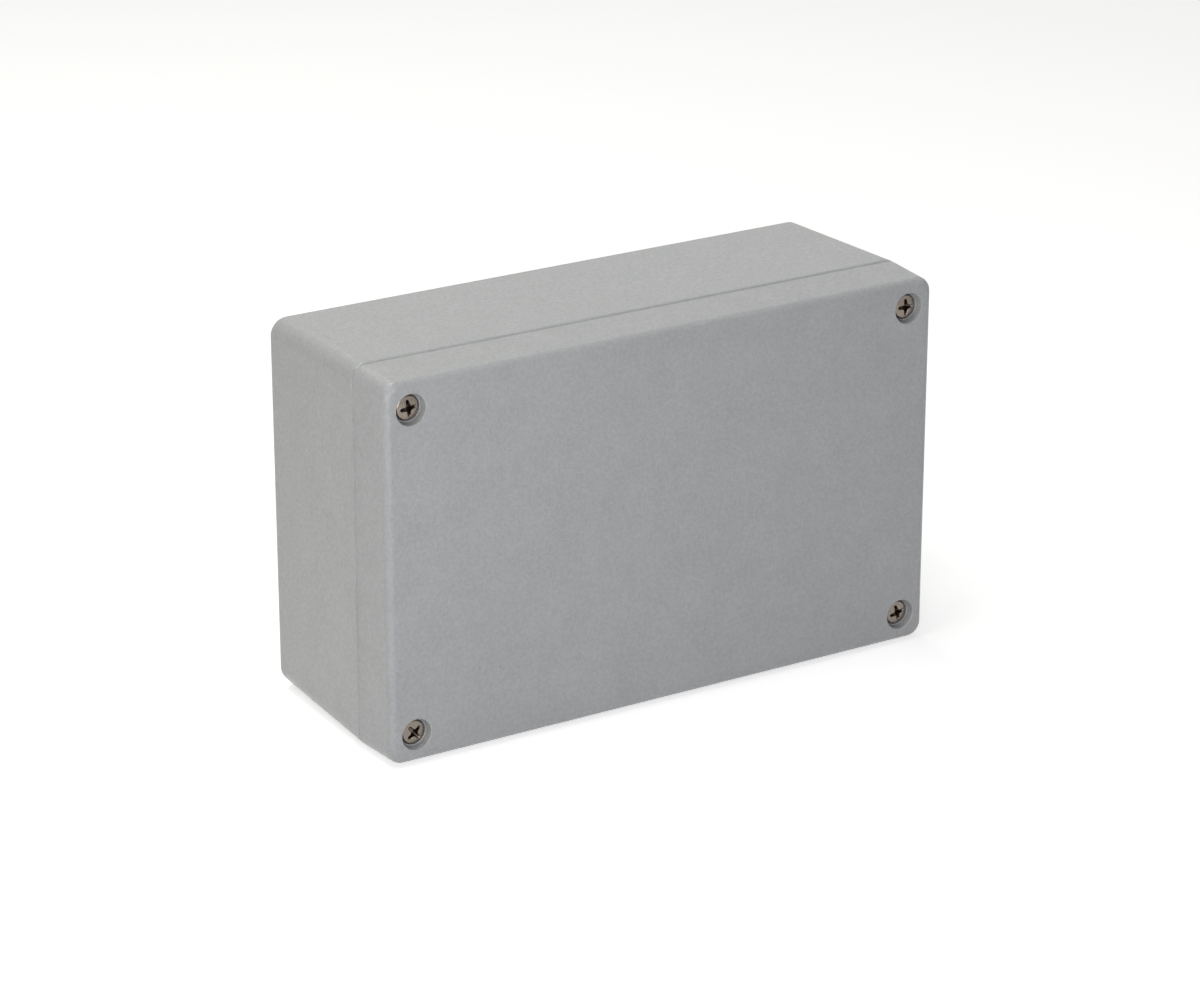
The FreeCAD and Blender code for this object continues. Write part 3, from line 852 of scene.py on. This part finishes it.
class OBJECT_OT_box_base(BoxOperator, Operator):
    """Makes the base casting with its tongue, pads, bosses, wells and tapped holes"""
    bl_idname = "object.box_base"
    bl_label = "Base casting"

    def execute(self, context):
        casting = context.scene.box_casting
        holes = context.scene.box_holes
        screws = context.scene.box_screws
        coat = bpy.data.materials["powder_coated_alloy"]
        bare = bpy.data.materials["machined_alloy"]
        base = paint(self.outside(casting), coat, bare)
        tongue = paint(self.tongue(casting), coat, bare)
        combined(base, "UNION", [tongue])
        cavity = paint(self.cavity(casting), coat, bare)
        combined(base, "DIFFERENCE", [cavity])
        board = [(x * holes.board_spacing_x / 2, z * holes.board_spacing_z / 2) for x, z in CORNERS]
        bosses = paint(copies(board_boss(casting, holes), board, coat), coat, bare)
        combined(base, "UNION", [bosses])
        places = list(screw_places().values())
        mounts = [(math.copysign(HALF_LENGTH - holes.mount_distance, x), z) for x, z in places]
        wells = paint(copies(mounting_well(casting, holes), mounts, coat), coat, bare)
        boss_y = BACK_Y - casting.floor - holes.boss_height
        board_hole = threaded_hole("board_hole", holes.boss_hole / 2, boss_y, holes.boss_hole_depth,
                                   BOARD_THREAD, screws.pitch, bare)
        board_holes = paint(copies(board_hole, board, bare), coat, bare, index=1)
        lid_hole = threaded_hole("lid_hole", holes.tapped / 2, JOINT_Y, holes.tapped_depth, LID_THREAD,
                                 screws.pitch, bare)
        lid_holes = paint(copies(lid_hole, places, bare), coat, bare, index=1)
        prints = paint(ejector_marks("base_print", 30 * MM, BACK_Y - casting.floor, 1), coat, bare)
        combined(base, "DIFFERENCE", [wells, board_holes, lid_holes, prints])
        smoothed(base)
        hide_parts("base")
        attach(base, "base")
        return {"FINISHED"}

    def outside(self, casting):
        """The drafted block, with a wider rounding of its joint along the long sides than at the ends."""
        lean = math.tan(casting.base_draft)
        rings = []
        for inset, depth in fillet(casting.base_rim, 12, False):
            left = max(casting.end_rim - depth, 0)
            end_inset = casting.end_rim - math.sqrt(casting.end_rim ** 2 - left ** 2)
            outline = plain_outline(inset + lean * depth, casting.base_corner - (inset + end_inset) / 2,
                                    end_inset + lean * depth)
            rings.append(level(outline, JOINT_Y + depth))
        for inset, depth in fillet(casting.back_edge, 10, True):
            outline = plain_outline(inset + lean * (BACK_Y - JOINT_Y), casting.base_corner - inset)
            rings.append(level(outline, BACK_Y + depth))
        return skin("base_casting", rings)

    def tongue(self, casting):
        """A solid block up to the tongue's outer side, which the cavity then hollows out."""
        root_y = JOINT_Y + 1.5 * MM
        rings = []
        for inset, depth in fillet(SMALL_EDGE, 4, False):
            width = casting.tongue_width - inset
            rings.append(level(stepped_outline(casting, width, width), TONGUE_Y + depth))
        outline = stepped_outline(casting, casting.tongue_width, casting.tongue_width)
        rings.append(level(outline, root_y))
        return skin("tongue", rings)

    def cavity(self, casting):
        """The drafted room inside, from the tongue's rounded edge to the floor."""
        lean = math.tan(casting.core_draft)
        floor_y = BACK_Y - casting.floor
        mouth = SMALL_EDGE + SHORT_OVER
        rings = [level(stepped_outline(casting, mouth, mouth), TONGUE_Y - SHORT_OVER)]
        for inset, depth in fillet(SMALL_EDGE, 4, False):
            rings.append(level(stepped_outline(casting, inset, inset), TONGUE_Y + depth))
        for inset, depth in fillet(casting.inner_edge, 8, True):
            offset = -lean * (floor_y - TONGUE_Y) - inset
            rings.append(level(stepped_outline(casting, offset, -inset), floor_y + depth))
        return skin("cavity", rings)


class OBJECT_OT_box_lid(BoxOperator, Operator):
    """Makes the lid casting with its hollow, gasket groove and counterbored holes"""
    bl_idname = "object.box_lid"
    bl_label = "Lid casting"

    def execute(self, context):
        casting = context.scene.box_casting
        holes = context.scene.box_holes
        screws = context.scene.box_screws
        coat = bpy.data.materials["powder_coated_alloy"]
        bare = bpy.data.materials["machined_alloy"]
        lid = paint(self.outside(casting), coat, bare)
        hollow = paint(self.hollow(casting), coat, bare)
        groove = seal_band("groove", casting, casting.groove_width, JOINT_Y - casting.groove_depth,
                           JOINT_Y + 1.5 * MM, 0.5 * MM, coat)
        paint(groove, coat, bare)
        places = list(screw_places().values())
        bores = paint(copies(counterbore(holes, screws), places, coat), coat, bare)
        prints = paint(ejector_marks("lid_print", 28 * MM, FRONT_Y + casting.plate, -1), coat, bare)
        combined(lid, "DIFFERENCE", [hollow, groove, bores, prints])
        smoothed(lid)
        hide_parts("lid")
        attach(lid, "lid")
        return {"FINISHED"}

    def outside(self, casting):
        """The drafted cap, rounded round its face and a little at the joint."""
        lean = math.tan(casting.lid_draft)
        total = JOINT_Y - FRONT_Y
        rings = []
        for inset, depth in fillet(casting.front_edge, 12, False):
            outline = plain_outline(casting.lid_step + inset + lean * (total - depth),
                                    casting.lid_corner - inset)
            rings.append(level(outline, FRONT_Y + depth))
        for inset, depth in fillet(casting.lid_rim, 5, True):
            outline = plain_outline(casting.lid_step + inset, casting.lid_corner - inset)
            rings.append(level(outline, JOINT_Y + depth))
        return skin("lid_casting", rings)

    def hollow(self, casting):
        """The drafted room inside, from the plate to the groove's lip."""
        lean = math.tan(casting.core_draft)
        ceiling = FRONT_Y + casting.plate
        lip = (casting.tongue_width - casting.groove_width) / 2 - casting.groove_lip
        mouth = lip + SMALL_EDGE
        rings = []
        for inset, depth in fillet(casting.inner_edge * 0.75, 8, False):
            offset = lip - lean * (JOINT_Y - ceiling) - inset
            rings.append(level(stepped_outline(casting, offset, lip - inset), ceiling + depth))
        for inset, depth in fillet(SMALL_EDGE, 4, False):
            outline = stepped_outline(casting, mouth - inset, mouth - inset)
            rings.append(level(outline, JOINT_Y - SMALL_EDGE + depth))
        rings.append(level(stepped_outline(casting, mouth + SHORT_OVER, mouth), JOINT_Y + SHORT_OVER))
        return skin("hollow", rings)


class OBJECT_OT_box_gasket(BoxOperator, Operator):
    """Makes the neoprene gasket that lies in the lid's groove"""
    bl_idname = "object.box_gasket"
    bl_label = "Gasket"

    def execute(self, context):
        casting = context.scene.box_casting
        rubber = bpy.data.materials["black_neoprene"]
        low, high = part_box("gasket")
        side_gap, edge = 0.1 * MM, 0.35 * MM
        width = casting.groove_width - 2 * side_gap
        gasket = seal_band("gasket_cord", casting, width, low.y, high.y, edge, rubber)
        smoothed(gasket, 40)
        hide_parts("gasket")
        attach(gasket, "lid")
        return {"FINISHED"}


class OBJECT_OT_box_screws(BoxOperator, Operator):
    """Makes the four lid screws with their crowned heads, cross recesses and threads"""
    bl_idname = "object.box_screws"
    bl_label = "Lid screws"

    # How far each head's recess is turned, in degrees, in the order of the screws' numbers
    turns = (8, 1, 15, 40)

    def execute(self, context):
        screws = context.scene.box_screws
        steel = bpy.data.materials["turned_stainless_steel"]
        # The recesses get darker steel as painted shade
        dark = bpy.data.materials["greased_recess"]
        tree, keys = thread_tree()
        least = screws.neck / 2 + 0.1 * MM
        for body, (x, z) in screw_places().items():
            number = int(body.split("_")[1])
            screw = turned("screw_" + str(number), self.profile(screws), 64)
            with_tree(screw, tree, keys, Pitch=screws.pitch, Depth=-screws.thread_depth,
                      Start=THREAD_START_Y, End=SCREW_TIP_Y + 0.3 * MM, Run_out=0.5 * MM,
                      Least=least, Material=steel)
            paint(screw, steel, dark)
            bit = paint(self.driver_bit(screws, self.turns[number - 1]), steel, dark, index=1)
            combined(screw, "DIFFERENCE", [bit])
            screw.data.transform(Matrix.Translation((x, 0, z + MIDDLE_Z)))
            screw.name = "captive_screw_" + str(number)
            smoothed(screw, 38)
            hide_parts("lid_screw_" + str(number))
            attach(screw, body)
        return {"FINISHED"}

    def profile(self, screws):
        """(radius, y) from the crown to the tip."""
        radius = screws.head / 2
        edge = screws.head_edge
        crown = screws.crown
        reach = radius - edge
        top = HEAD_TOP_Y
        seat = top + screws.head_height
        neck = screws.neck / 2
        thread = screws.thread / 2
        under, root, root_bend = 0.12 * MM, 0.25 * MM, 0.07 * MM
        point, chamfer = 0.6 * MM, 0.3 * MM
        points = [(reach * i / 8, top + crown * (i / 8) ** 2) for i in range(9)]
        points += [(reach + edge * math.sin(a), top + crown + edge * (1 - math.cos(a)))
                   for a in quarter(5)[1:]]
        points += [(radius, seat - under), (radius - under, seat), (neck + root, seat)]
        points += [(neck + root_bend, seat + root_bend), (neck, seat + root)]
        points += [(neck, THREAD_START_Y), (thread - chamfer, THREAD_START_Y)]
        points += thread_rows(thread, THREAD_START_Y + root, SCREW_TIP_Y - point, screws.pitch)
        points += [(thread - chamfer, SCREW_TIP_Y - chamfer), (thread - point, SCREW_TIP_Y), (0, SCREW_TIP_Y)]
        return points

    def driver_bit(self, screws, turn):
        """A cross with four tapering flutes about a blunt point."""
        half_span = screws.recess_span / 2
        half_width = screws.recess_width / 2
        depth = screws.recess_depth
        reach = screws.head / 2 - screws.head_edge
        # Depth, then the shares of span and width, and how far the corners between the arms are cut back
        levels = ((-0.3 * MM, 1.1, 1.5, 1.25), (-0.02 * MM, 1.04, 1.25, 1.15), (0.07 * MM, 0.99, 1.0, 1.0),
                  (depth * 0.35, 0.82, 0.85, 0.8), (depth * 0.75, 0.6, 0.65, 0.5), (depth, 0.42, 0.4, 0.1))
        rings = []
        for y, long, wide, cut in levels:
            end, half = half_span * long, half_width * wide
            corner = 1.3 * half_width + 0.42 * MM * cut
            outline = []
            for side in range(4):
                a = math.pi / 2 * side
                arm = ((end - 0.45 * half, -half * 0.9), (end, -half * 0.45), (end, half * 0.45),
                       (end - 0.45 * half, half * 0.9), (corner, half * 1.1), (corner * 0.66, corner * 0.66),
                       (half * 1.1, corner))
                outline += [(u * math.cos(a) - v * math.sin(a), u * math.sin(a) + v * math.cos(a))
                            for u, v in arm]
            rings.append([(u, HEAD_TOP_Y + y + screws.crown * (math.hypot(u, v) / reach) ** 2, v)
                          for u, v in outline])
        bit = skin("driver_bit", rings)
        bit.data.transform(Matrix.Rotation(math.radians(-turn), 4, "Y"))
        return bit


class OBJECT_OT_box_clips(BoxOperator, Operator):
    """Makes the clips that keep the screws in the lid"""
    bl_idname = "object.box_clips"
    bl_label = "Clips"

    def execute(self, context):
        screws = context.scene.box_screws
        spring = bpy.data.materials["spring_steel"]
        tree, keys = clip_tree()
        inner = screws.neck / 2 + 0.05 * MM
        outer = screws.clip / 2
        middle_y = (CLIP_FRONT_Y + CLIP_BACK_Y) / 2
        for body, (x, z) in screw_places().items():
            number = body.split("_")[1]
            clip = new_object("retaining_clip_" + number, bpy.data.meshes.new("retaining_clip"))
            with_tree(clip, tree, keys, Middle_radius=(inner + outer) / 2, Width=outer - inner,
                      Thickness=CLIP_BACK_Y - CLIP_FRONT_Y, Opening=screws.clip_opening, Edge=0.12 * MM,
                      Material=spring)
            clip.data.transform(Matrix.Translation((x, middle_y, z + MIDDLE_Z)))
            outwards(clip)
            smoothed(clip, 40)
            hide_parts("screw_clip_" + number)
            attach(clip, "clip_" + number)
        return {"FINISHED"}


class OBJECT_OT_box_finishes(BoxOperator, Operator):
    """Makes the coat, alloy, steel and rubber finishes"""
    bl_idname = "object.box_finishes"
    bl_label = "Finishes"

    def execute(self, context):
        finish = context.scene.box_finish
        powder_coated_alloy(finish)
        machined_alloy(finish)
        stainless_steel("turned_stainless_steel", finish.steel, 0.26)
        # Darker steel that paints the shade in the screws' recesses
        stainless_steel("greased_recess", finish.recess, 0.24)
        stainless_steel("spring_steel", finish.spring_steel, 0.3)
        black_neoprene(finish)
        return {"FINISHED"}


class VIEW3D_PT_box(Panel):
    """The box's sizes, finishes and pieces"""
    bl_idname = "VIEW3D_PT_die_cast_box"
    bl_label = "Die cast box"
    bl_space_type = "VIEW_3D"
    bl_region_type = "UI"
    bl_category = "Die cast box"

    def draw(self, context):
        layout = self.layout
        for operator in OPERATORS:
            layout.operator(operator.bl_idname)
        for name in SETTINGS:
            settings = getattr(context.scene, name)
            column = layout.column()
            for title in settings.bl_rna.properties.keys():
                if title not in ("rna_type", "name"):
                    column.prop(settings, title)


SETTINGS = {
    "box_casting": BoxCastingSettings,
    "box_holes": BoxHoleSettings,
    "box_screws": BoxScrewSettings,
    "box_finish": BoxFinishSettings,
    "box_stage": BoxStageSettings,
}
OPERATORS = (
    OBJECT_OT_box_finishes,
    OBJECT_OT_box_base,
    OBJECT_OT_box_lid,
    OBJECT_OT_box_gasket,
    OBJECT_OT_box_screws,
    OBJECT_OT_box_clips,
    OBJECT_OT_box_stage,
)


def register():
    for kind in (*SETTINGS.values(), *OPERATORS, VIEW3D_PT_box):
        bpy.utils.register_class(kind)
    for name, kind in SETTINGS.items():
        setattr(bpy.types.Scene, name, PointerProperty(type=kind))


def unregister():
    for name in SETTINGS:
        delattr(bpy.types.Scene, name)
    for kind in reversed((*SETTINGS.values(), *OPERATORS, VIEW3D_PT_box)):
        bpy.utils.unregister_class(kind)


def main():
    register()
    bpy.ops.object.box_finishes()
    bpy.ops.object.box_base()
    bpy.ops.object.box_lid()
    bpy.ops.object.box_gasket()
    bpy.ops.object.box_screws()
    bpy.ops.object.box_clips()
    bpy.ops.object.box_stage()


if __name__ == "__main__":
    main()
